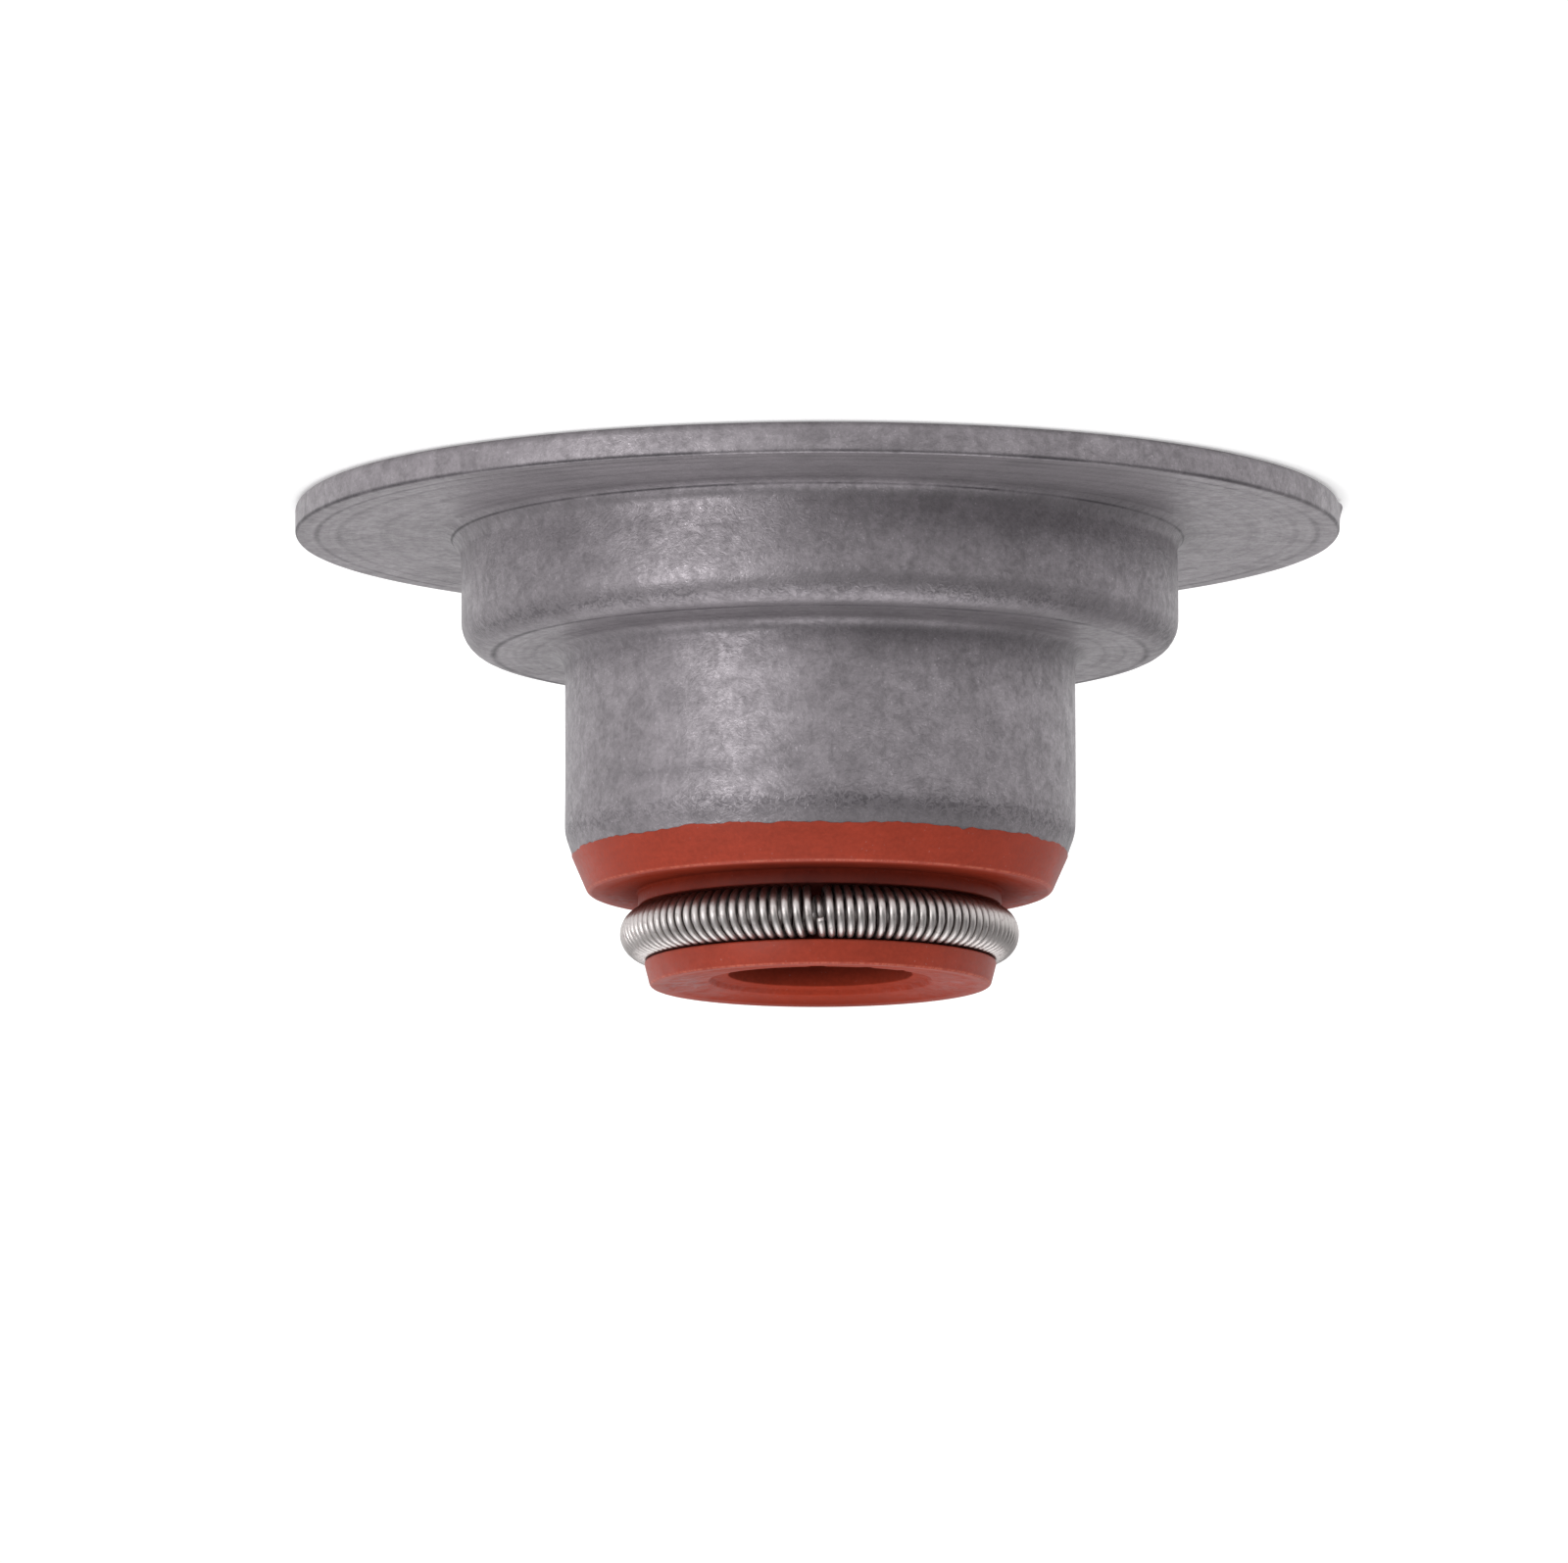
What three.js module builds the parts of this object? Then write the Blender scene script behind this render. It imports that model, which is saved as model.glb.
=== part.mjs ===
// Valve stem seal with a built-in spring seat, for an overhead valve engine.
//
// It is three pieces. A pressed steel shell has a flat flange that lies on the cylinder head under the
// valve spring, a step that centres the spring, and a tube whose end is turned in. A rubber seal is
// moulded to that end: it lines the tube with ribs that grip the valve guide, covers the turned-in rim,
// and carries the sealing lip on a neck. A garter spring, a long close-wound coil joined into a ring by
// screwing its narrowed tail into its other end, lies in the groove round the lip.
//
// Millimetres. The origin is the centre of the flange's seat face, and +Z runs along the valve stem,
// from the seat towards the lip.

import * as THREE from "three";

// The engine parts that the seal fits
const STEM_DIAMETER = 6;
const GUIDE_DIAMETER = 11;

// Pressed steel shell
const SHEET = 0.9;
const FLANGE_DIAMETER = 30;
const RIM_EDGE = 0.12; // broken edge round the flange's rim
const STEP_DIAMETER = 20.6;
const STEP_HEIGHT = 4.35; // seat plane to the step's face
const TUBE_LENGTH = 5.38; // step's face to the corner where the tube starts to lean in
const LEAN_ANGLE = THREE.MathUtils.degToRad(19);
const LEAN_STRAIGHT = 0.03; // straight run between the last two bends
const TURNED_IN = 1.875; // how far the turned-in end reaches inwards from the tube's outside
const FLANGE_BEND = 0.6; // inside radius of each bend, from the rim to the tube's end
const STEP_BEND = 0.02;
const TUBE_BEND = 0.5;
const LEAN_BEND = 1.83;
const END_BEND = 0.1;

// Moulded rubber seal
const LINING = 0.925; // thickness of the lining, between the guide and the tube
const COVER = 0.39; // rubber over the turned-in end, outside
const COLLAR_ANGLE = THREE.MathUtils.degToRad(23.5);
const COLLAR_ROUND = 0.3;
const SPRING_DROP = 1.24; // collar's face to the garter spring's plane
const LIP_HEIGHT = 1.44; // garter spring's plane to the lip's end face
const LIP_SQUEEZE = 0.4; // how far the sealing edge stands in from the stem's surface
const LIP_WALL = 1.568; // rubber between the sealing edge and the floor of the groove
const NECK_STAND = 0.25; // how far the neck stands out past the middle of the winding
const LIP_STAND = 0.1; // the same for the lip's outside, beside the groove
const LIP_TAPER = 0.18; // narrowing of the lip from there to its end face
const LIP_ROUND = 0.12;
const RECESS_WIDTH = 0.575; // shallow dish round the mouth of the bore
const RECESS_DEPTH = 0.2;
const MOUTH_FLARE = 0.035; // widening from the sealing edge to the dish
const EDGE_OFFSET = 0.25; // sealing edge beyond the garter spring's plane
const CAVITY_WIDTH = 1.4; // hollow behind the lip, outside the sealing edge
const CAVITY_DEPTH = 0.25; // where that hollow starts to close, inside the collar's face
const STOP_WIDTH = 1.2; // shoulder that the valve guide stops at
const STOP_THICKNESS = 0.35; // rubber under the turned-in end
const RIBS = 3;
const RIB_HEIGHT = 0.2;
const LINING_START = 0.25; // above the bend between the step and the tube
const LEAD_IN = 0.4; // chamfer that guides the valve guide into the lining

// Garter spring
const WIRE_DIAMETER = 0.225;
const COIL_DIAMETER = 1.523; // outside of the winding
const TURN_GAP = 0.0165; // between neighbouring turns, on the inside of the ring
const SPRING_CLEARANCE = 0.03; // between the winding and its groove
const TAIL_TURNS = 2; // turns of the narrowed tail inside the other end
const TAIL_CLEARANCE = 0.06;
const TAPER_TURNS = 1; // over which the winding narrows
const TAIL_LEAD = 0.25; // turns at the narrowed size before the tail goes under the cut end
const JOINT_ANGLE = -Math.PI / 2; // where the cut end shows, round +Z from +X

// How finely curves are faceted
const SEGMENTS = 40;
const ARC_ERROR = 0.05;
const GROOVE_STEPS = 5;
const TURN_STEPS = 7;
const WIRE_SIDES = 4;

const radiusOf = (diameter) => diameter / 2;
const point = (radius, height) => new THREE.Vector2(radius, height);

/** How many chords keep within ARC_ERROR of an arc, near enough. */
function arcSteps(radius, angle) {
  const chord = 2 * Math.acos(Math.max(0, 1 - ARC_ERROR / radius));
  return Math.max(1, Math.round(angle / chord));
}

/** The points that round one corner of an outline, or the corner itself where its radius is 0. */
function roundedCorner(before, corner, after, radius) {
  if (radius === 0) return [corner.clone()];
  const back = before.clone().sub(corner).normalize();
  const ahead = after.clone().sub(corner).normalize();
  const turn = Math.PI - Math.acos(THREE.MathUtils.clamp(back.dot(ahead), -1, 1));
  const middle = back.clone().add(ahead).normalize();
  const centre = corner.clone().addScaledVector(middle, radius / Math.cos(turn / 2));
  const start = corner.clone().addScaledVector(back, radius * Math.tan(turn / 2));
  const steps = arcSteps(radius, turn);
  const direction = Math.sign(ahead.cross(back));
  return Array.from({ length: steps + 1 }, (_, i) =>
    start.clone().rotateAround(centre, (direction * turn * i) / steps),
  );
}

/** Where each corner of a folded line goes when the line moves sideways, to its left. */
function moveLeft(line, distance) {
  return line.map((corner, i) => {
    const normals = [line[i - 1], line[i]]
      .map((from, k) => from && line[i + k] && line[i + k].clone().sub(from).normalize())
      .filter(Boolean)
      .map((along) => point(-along.y, along.x));
    const sum = normals.reduce((a, b) => a.clone().add(b));
    const stretch = normals.length === 2 ? 1 + normals[0].dot(normals[1]) : 1;
    return corner.clone().addScaledVector(sum, distance / stretch);
  });
}

/** The points of one face of a folded sheet, corner by corner. A bend's outer face has the wider radius. */
function foldedFace(line, bends, isLeftFace) {
  return line.map((corner, i) => {
    if (i === 0 || i === line.length - 1) return [corner];
    const turnsLeft = corner.clone().sub(line[i - 1]).cross(line[i + 1].clone().sub(corner)) > 0;
    const radius = bends[i - 1] + (turnsLeft === isLeftFace ? 0 : SHEET);
    return roundedCorner(line[i - 1], corner, line[i + 1], radius);
  });
}

/** The solid swept by turning a closed outline of (radius, height) points about Z. */
function turned(outline) {
  return new THREE.LatheGeometry([...outline, outline[0]], SEGMENTS).rotateX(Math.PI / 2);
}

// Radii that follow from the stem, inside the lip, and from the guide, inside the tube
const sealingRadius = radiusOf(STEM_DIAMETER) - LIP_SQUEEZE;
const grooveRadius = radiusOf(COIL_DIAMETER) + SPRING_CLEARANCE; // of the groove's round floor
const ringRadius = sealingRadius + LIP_WALL + grooveRadius; // to the middle of the winding
const neckRadius = ringRadius + NECK_STAND;
const lipRadius = ringRadius + LIP_STAND;
const liningRadius = radiusOf(GUIDE_DIAMETER);
const tubeRadius = liningRadius + LINING + SHEET;

// The shell's lip side, as straight runs from the flange's rim to the tube's turned-in end. The last
// corner lies where its own bend and the one before it leave the named straight run between them.
const flangeRadius = radiusOf(FLANGE_DIAMETER);
const stepRadius = radiusOf(STEP_DIAMETER);
const leanCorner = point(tubeRadius, STEP_HEIGHT + TUBE_LENGTH);
const endAngle = Math.PI / 2 - LEAN_ANGLE;
const leanLength =
  (LEAN_BEND + SHEET) * Math.tan(LEAN_ANGLE / 2) +
  LEAN_STRAIGHT +
  (END_BEND + SHEET) * Math.tan(endAngle / 2);
const endCorner = leanCorner
  .clone()
  .add(point(-Math.sin(LEAN_ANGLE), Math.cos(LEAN_ANGLE)).multiplyScalar(leanLength));
const lipSideLine = [
  point(flangeRadius, SHEET),
  point(stepRadius, SHEET),
  point(stepRadius, STEP_HEIGHT),
  point(tubeRadius, STEP_HEIGHT),
  leanCorner,
  endCorner,
  point(tubeRadius - TURNED_IN, endCorner.y),
];
const bends = [FLANGE_BEND, STEP_BEND, TUBE_BEND, LEAN_BEND, END_BEND];
const lipSide = foldedFace(lipSideLine, bends, false);
const underSide = foldedFace(moveLeft(lipSideLine, SHEET), bends, true);

// The last three corners of both faces, which the rubber is moulded to
const [outerLean, outerEnd, outerRim] = lipSide.slice(-3);
const [innerLean, innerEnd, innerRim] = underSide.slice(-3);

/** Pressed steel shell: flange, step and tube in one sheet. */
function springSeatShell() {
  const rim = [
    point(flangeRadius - RIM_EDGE, 0),
    point(flangeRadius, RIM_EDGE),
    point(flangeRadius, SHEET - RIM_EDGE),
    point(flangeRadius - RIM_EDGE, SHEET),
  ];
  const backAlongUnderSide = underSide.slice(1).flat().reverse();
  return turned([...rim, ...lipSide.slice(1).flat(), ...backAlongUnderSide]);
}

// Heights of the rubber seal, stacked on the shell's turned-in end
const collarFace = endCorner.y + COVER;
const springPlane = collarFace + SPRING_DROP;
const lipEnd = springPlane + LIP_HEIGHT;
const guideStop = endCorner.y - SHEET - STOP_THICKNESS;
const liningBottom = STEP_HEIGHT + TUBE_BEND + LINING_START;

/** The groove that the garter spring lies in: a round floor outside the winding, between two flat walls. */
function springGroove() {
  const step = Math.PI / GROOVE_STEPS;
  const floor = Array.from({ length: GROOVE_STEPS }, (_, i) => {
    const angle = -Math.PI / 2 - step * (i + 0.5);
    const reach = grooveRadius / Math.cos(step / 2);
    return point(ringRadius + reach * Math.cos(angle), springPlane + reach * Math.sin(angle));
  });
  return [
    point(neckRadius, springPlane - grooveRadius),
    ...floor,
    point(lipRadius, springPlane + grooveRadius),
  ];
}

/** The lining's ribs, from the valve guide's stop down to the lead-in. */
function grippingRibs() {
  const top = guideStop;
  const bottom = liningBottom + LEAD_IN;
  const pitch = (top - bottom) / RIBS;
  const ribs = Array.from({ length: RIBS }, (_, i) => [
    point(liningRadius, top - pitch * i),
    point(liningRadius - RIB_HEIGHT, top - pitch * (i + 0.5)),
  ]);
  return [...ribs.flat(), point(liningRadius, bottom)];
}

/** Moulded rubber seal, whose contact with the shell follows the shell's own faces point for point. */
function rubberSeal() {
  const leanEnd = outerLean.at(-1);
  const collarEdge = point(leanEnd.x - (collarFace - leanEnd.y) * Math.tan(COLLAR_ANGLE), collarFace);
  const neckTop = point(neckRadius, collarFace);
  const groove = springGroove();
  const lipCorner = point(lipRadius - LIP_TAPER, lipEnd);
  const mouthRadius = sealingRadius + MOUTH_FLARE;
  const recessEdge = point(mouthRadius + RECESS_WIDTH, lipEnd);
  const outside = [
    ...roundedCorner(leanEnd, collarEdge, neckTop, COLLAR_ROUND),
    neckTop,
    ...groove,
    ...roundedCorner(groove.at(-1), lipCorner, recessEdge, LIP_ROUND),
    recessEdge,
  ];
  const bore = [
    point(mouthRadius, lipEnd - RECESS_DEPTH),
    point(sealingRadius, springPlane + EDGE_OFFSET),
    point(sealingRadius + CAVITY_WIDTH, collarFace - CAVITY_DEPTH),
    point(liningRadius - STOP_WIDTH, guideStop),
    ...grippingRibs(),
  ];
  const liningEnd = [
    point(liningRadius + LEAD_IN, liningBottom),
    point(tubeRadius - SHEET, liningBottom),
  ];
  const alongShell = [
    ...[innerLean, innerEnd, innerRim, outerRim].flat(),
    ...[...outerEnd].reverse(),
    leanEnd,
  ];
  return turned([...alongShell, ...outside, ...bore, ...liningEnd]);
}

/**
 * Centreline of the garter spring's wire, which runs round the ring once and then on into its own start.
 * It starts at the cut end that shows at the joint, on the outside of the ring. Near the end of the
 * round the winding narrows, so that its tail lies inside the first turns.
 */
class GarterWire extends THREE.Curve {
  constructor() {
    super();
    this.coilRadius = radiusOf(COIL_DIAMETER - WIRE_DIAMETER);
    this.tailRadius = this.coilRadius - WIRE_DIAMETER - TAIL_CLEARANCE;
    const innerRound = 2 * Math.PI * (ringRadius - this.coilRadius);
    this.turnsPerRing = Math.floor(innerRound / (WIRE_DIAMETER + TURN_GAP));
    this.turns = this.turnsPerRing + TAIL_TURNS;
  }

  /** Radius of the winding after so many turns. */
  windingRadius(turn) {
    const narrow = this.turnsPerRing - TAIL_LEAD;
    const share = THREE.MathUtils.smoothstep(turn, narrow - TAPER_TURNS, narrow);
    return THREE.MathUtils.lerp(this.coilRadius, this.tailRadius, share);
  }

  /** The outward direction of the winding after so many turns. */
  outward(turn) {
    const round = JOINT_ANGLE - (2 * Math.PI * turn) / this.turnsPerRing;
    const coil = 2 * Math.PI * turn;
    const sideways = Math.cos(coil);
    return new THREE.Vector3(sideways * Math.cos(round), sideways * Math.sin(round), Math.sin(coil));
  }

  getPoint(share, target = new THREE.Vector3()) {
    const turn = share * this.turns;
    const round = JOINT_ANGLE - (2 * Math.PI * turn) / this.turnsPerRing;
    return target
      .set(ringRadius * Math.cos(round), ringRadius * Math.sin(round), springPlane)
      .addScaledVector(this.outward(turn), this.windingRadius(turn));
  }

  /** Points a whole share of a turn apart, so that neighbouring turns lie side by side. */
  getSpacedPoints(divisions) {
    return this.getPoints(divisions);
  }

  /** Frames that keep one side of the wire's section facing out of the winding. */
  computeFrenetFrames(segments) {
    const tangents = [];
    const normals = [];
    const binormals = [];
    for (let i = 0; i <= segments; i++) {
      const share = i / segments;
      const tangent = this.getTangent(share);
      const outward = this.outward(share * this.turns);
      const binormal = new THREE.Vector3().crossVectors(tangent, outward).normalize();
      tangents.push(tangent);
      binormals.push(binormal);
      normals.push(new THREE.Vector3().crossVectors(binormal, tangent).normalize());
    }
    return { tangents, normals, binormals };
  }
}

/** A flat-sided section with the area of the round wire, with a side facing each neighbouring turn. */
function wireSection() {
  const corner = (2 * Math.PI) / WIRE_SIDES;
  const reach = radiusOf(WIRE_DIAMETER) * Math.sqrt((2 * Math.PI) / (WIRE_SIDES * Math.sin(corner)));
  return new THREE.Shape(
    Array.from({ length: WIRE_SIDES }, (_, i) =>
      point(reach * Math.cos(corner * (i + 0.5)), reach * Math.sin(corner * (i + 0.5))),
    ),
  );
}

/** Garter spring: the wire wound, narrowed at its tail and screwed into its own start. */
function garterSpring() {
  const wire = new GarterWire();
  return new THREE.ExtrudeGeometry(wireSection(), {
    steps: wire.turns * TURN_STEPS,
    extrudePath: wire,
    bevelEnabled: false,
  });
}

/** One named piece with its own finish. */
function piece(name, geometry, color, roughness, metalness) {
  const mesh = new THREE.Mesh(geometry, new THREE.MeshStandardMaterial({ color, roughness, metalness }));
  mesh.name = name;
  return mesh;
}

const valveStemSeal = new THREE.Group();
valveStemSeal.name = "valve_stem_seal";
valveStemSeal.add(
  piece("spring_seat_shell", springSeatShell(), 0x87838a, 0.5, 0.9),
  piece("rubber_seal", rubberSeal(), 0x9a3a2c, 0.55, 0),
  piece("garter_spring", garterSpring(), 0xb8b2b0, 0.25, 1),
);

export default valveStemSeal;
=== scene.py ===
"""Valve stem seal with a built-in spring seat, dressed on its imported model.

Three pieces are drawn again as fine surfaces: the pressed steel shell, the rubber seal moulded to it
and the garter spring in the rubber's groove. Sizes are in millimetres and the meshes in metres. The
seal stands on its flange at the origin, and +Z runs along the valve stem towards the lip.
"""

import logging
from collections.abc import Mapping, Sequence
from dataclasses import dataclass, field
from enum import Enum
from functools import partial, reduce
from math import cos, pi, radians, sin, tan

import bpy
import numpy as np
from mathutils import Matrix, Vector

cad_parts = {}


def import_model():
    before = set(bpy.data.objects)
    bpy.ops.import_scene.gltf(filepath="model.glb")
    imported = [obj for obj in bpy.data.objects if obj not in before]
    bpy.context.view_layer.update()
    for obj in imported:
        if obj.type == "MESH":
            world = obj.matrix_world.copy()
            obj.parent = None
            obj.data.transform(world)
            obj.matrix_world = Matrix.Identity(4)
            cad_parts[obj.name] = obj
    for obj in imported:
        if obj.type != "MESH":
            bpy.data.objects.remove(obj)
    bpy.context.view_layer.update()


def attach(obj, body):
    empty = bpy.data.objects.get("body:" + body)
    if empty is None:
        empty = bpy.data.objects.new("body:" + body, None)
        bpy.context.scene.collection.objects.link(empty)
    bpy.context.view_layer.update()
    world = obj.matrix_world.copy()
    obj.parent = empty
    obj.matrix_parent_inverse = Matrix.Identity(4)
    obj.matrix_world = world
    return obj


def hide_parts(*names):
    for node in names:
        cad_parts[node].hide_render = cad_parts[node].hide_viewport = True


MM = 0.001
ROUND_STEPS = 480
"""Places round the axis at which every turned surface has points."""
ALL_ALONG = 1e9
"""Length of a patch that takes in the whole outline, in mm."""

log = logging.getLogger("valve_stem_seal")

Colour = tuple[float, float, float]
Socket = bpy.types.NodeSocket


# Shapes that the pieces share


@dataclass(frozen=True)
class Corner:
    """A corner of an outline, by its distance from the axis and its height, and how wide it is rounded."""

    radius: float
    height: float
    rounding: float = 0.0


def moved_left(line: np.ndarray, distance: float) -> np.ndarray:
    """Move a folded line sideways, to its left, so that each straight run stays parallel to itself.

    A corner moves by the sum of the two runs' left normals, times distance over one plus their cosine.

    Args:
        line: Corners, one (radius, height) per row.
        distance: How far to move, in mm.

    Returns:
        The corners of the moved line.
    """
    along = np.diff(line, axis=0)
    along /= np.linalg.norm(along, axis=1, keepdims=True)
    left = np.stack([-along[:, 1], along[:, 0]], axis=1)
    before, after = np.vstack([left[:1], left]), np.vstack([left, left[-1:]])
    stretch = 1 + (before * after).sum(axis=1, keepdims=True)
    return line + distance * (before + after) / stretch


def corner_arc(
    before: np.ndarray, corner: np.ndarray, after: np.ndarray, rounding: float, steps: int
) -> np.ndarray:
    """Round one corner with an arc that both of its runs touch.

    The arc's centre lies on the bisector, at the rounding over the cosine of half the turn. Its points
    go at even angles from the foot of one tangent to the foot of the other.

    Args:
        before: The corner before it.
        corner: The corner itself.
        after: The corner after it.
        rounding: Radius of the arc, in mm, or 0 for a sharp corner.
        steps: Chords in the arc.

    Returns:
        The arc's points, one (radius, height) per row.
    """
    if rounding <= 0:
        return corner[None, :]
    back = (before - corner) / np.linalg.norm(before - corner)
    ahead = (after - corner) / np.linalg.norm(after - corner)
    turn = pi - np.arccos(np.clip(back @ ahead, -1, 1))
    middle = (back + ahead) / np.linalg.norm(back + ahead)
    centre = corner + middle * rounding / cos(turn / 2)
    spoke = corner + back * rounding * tan(turn / 2) - centre
    side = np.sign(ahead[0] * back[1] - ahead[1] * back[0])
    angle = side * turn * np.linspace(0, 1, steps + 1)
    return centre + np.stack(
        [
            spoke[0] * np.cos(angle) - spoke[1] * np.sin(angle),
            spoke[0] * np.sin(angle) + spoke[1] * np.cos(angle),
        ],
        axis=1,
    )


def rounded_outline(corners: Sequence[Corner], spacing: float, arc_steps: int) -> np.ndarray:
    """Draw a closed outline through rounded corners, with points along its straight runs too.

    Args:
        corners: The corners in order, anticlockwise with the radius to the right and the height up.
        spacing: Longest distance between neighbours on a straight run, in mm.
        arc_steps: Chords in each rounded corner.

    Returns:
        The outline's points, one (radius, height) per row, the first not repeated at the end.
    """
    points = np.array([(c.radius, c.height) for c in corners])
    arcs = [
        corner_arc(points[i - 1], points[i], points[(i + 1) % len(points)], c.rounding, arc_steps)
        for i, c in enumerate(corners)
    ]
    pieces = []
    for arc, following in zip(arcs, arcs[1:] + arcs[:1]):
        run = following[0] - arc[-1]
        count = max(1, round(float(np.linalg.norm(run)) / spacing))
        pieces += [arc, arc[-1] + run * (np.arange(1, count)[:, None] / count)]
    return np.vstack(pieces)


def run_along(outline: np.ndarray) -> np.ndarray:
    """Return each point's distance along the outline from its first point, in mm."""
    steps = np.linalg.norm(np.diff(outline, axis=0), axis=1)
    return np.concatenate([[0.0], np.cumsum(steps)])


def nearest(outline: np.ndarray, radius: float, height: float) -> int:
    """Return the index of the outline's point nearest to a place."""
    return int(np.argmin(np.hypot(outline[:, 0] - radius, outline[:, 1] - height)))


def round_noise(seed: int, low: int, high: int, fall: float, count: int = ROUND_STEPS) -> np.ndarray:
    """Make a smooth random wave that closes on itself round the axis.

    It is a sum of sines of whole frequencies from low to high, each with a random phase and a size of
    the frequency to the power of -fall, scaled so that its standard deviation is 1.

    Args:
        seed: Seed of the random phases.
        low: Lowest frequency, in waves round the axis.
        high: Highest frequency.
        fall: How fast the size falls with the frequency.
        count: How many places round the axis.

    Returns:
        The wave at each place, from +X anticlockwise.
    """
    rng = np.random.default_rng(seed)
    waves = np.arange(low, high + 1)
    angle = np.linspace(0, 2 * pi, count, endpoint=False)
    phase = rng.uniform(0, 2 * pi, len(waves))
    size = waves**-fall * rng.uniform(0.5, 1.0, len(waves))
    wave = (size[:, None] * np.sin(waves[:, None] * angle + phase[:, None])).sum(axis=0)
    return wave / wave.std()


def grid_faces(rows: int, columns: int) -> np.ndarray:
    """Join a grid that closes on itself both ways into quads.

    Args:
        rows: Points along the outline.
        columns: Places round the axis.

    Returns:
        Four point indices per row, anticlockwise seen from outside.
    """
    row, column = np.meshgrid(np.arange(rows), np.arange(columns), indexing="ij")
    row_on, column_on = (row + 1) % rows, (column + 1) % columns
    corners = [(row, column), (row, column_on), (row_on, column_on), (row_on, column)]
    return np.stack([(r * columns + c).ravel() for r, c in corners], axis=1)


def ramp(values: np.ndarray, low: float, high: float) -> np.ndarray:
    """Return 0 up to low, 1 from high on, and the smooth t^2 (3 - 2t) between them."""
    share = np.clip((values - low) / (high - low), 0, 1)
    return share**2 * (3 - 2 * share)


def as_made(points: np.ndarray) -> np.ndarray:
    """Move points by the few hundredths that the real seal is out of true.

    Each height lies off the axis towards +X by an amount read between levels: the flange by 0.115 mm,
    the tube by 0.04 and the spring by 0.085. From 9.4 to 11.5 mm up, the outside is 0.07 mm narrower.

    Args:
        points: One (x, y, z) per row, in mm.

    Returns:
        The moved points.
    """
    x, y, z = points.T
    radius = np.hypot(x, y)
    narrower = 0.07 * ramp(z, 9.4, 10.1) * (1 - ramp(z, 11.3, 11.5)) * ramp(radius, 5.6, 6.6)
    scale = 1 - narrower / np.maximum(radius, 0.1)
    levels = (0.0, 1.0, 1.7, 8.0, 10.0, 11.3, 12.5, 13.4, 13.8)
    aside = (0.115, 0.115, 0.05, 0.04, 0.06, 0.07, 0.085, 0.055, 0.06)
    return np.stack([x * scale + np.interp(z, levels, aside), y * scale, z], axis=1)


def mesh_piece(name: str, points: np.ndarray, faces: np.ndarray) -> bpy.types.Object:
    """Make a smooth shaded object from points in mm, as the real piece came out.

    Args:
        name: Name of the piece.
        points: One (x, y, z) per row, in mm.
        faces: Point indices, one face per row, with -1 in the fourth place of a triangle.

    Returns:
        The object, at the origin and in the scene.
    """
    mesh = bpy.data.meshes.new(name)
    mesh.vertices.add(len(points))
    mesh.vertices.foreach_set("co", (as_made(points) * MM).astype(np.float32).ravel())
    sizes = 3 + (faces[:, 3] >= 0)
    mesh.loops.add(int(sizes.sum()))
    mesh.loops.foreach_set("vertex_index", faces[faces >= 0].astype(np.int32))
    mesh.polygons.add(len(faces))
    mesh.polygons.foreach_set("loop_start", np.concatenate([[0], np.cumsum(sizes)[:-1]]).astype(np.int32))
    mesh.polygons.foreach_set("use_smooth", np.ones(len(faces), bool))
    mesh.update(calc_edges=True)
    mesh.validate()
    made = bpy.data.objects.new(name, mesh)
    bpy.context.scene.collection.objects.link(made)
    return made


def set_attribute(piece: bpy.types.Object, name: str, values: np.ndarray) -> None:
    """Give a piece's points a number each, or a vector each.

    Args:
        piece: The piece.
        name: Name that its material reads.
        values: One number, or one row of three, per point.
    """
    kind, key = ("FLOAT_VECTOR", "vector") if values.ndim == 2 else ("FLOAT", "value")
    layer = piece.data.attributes.new(name, kind, "POINT")
    layer.data.foreach_set(key, values.astype(np.float32).ravel())


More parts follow.
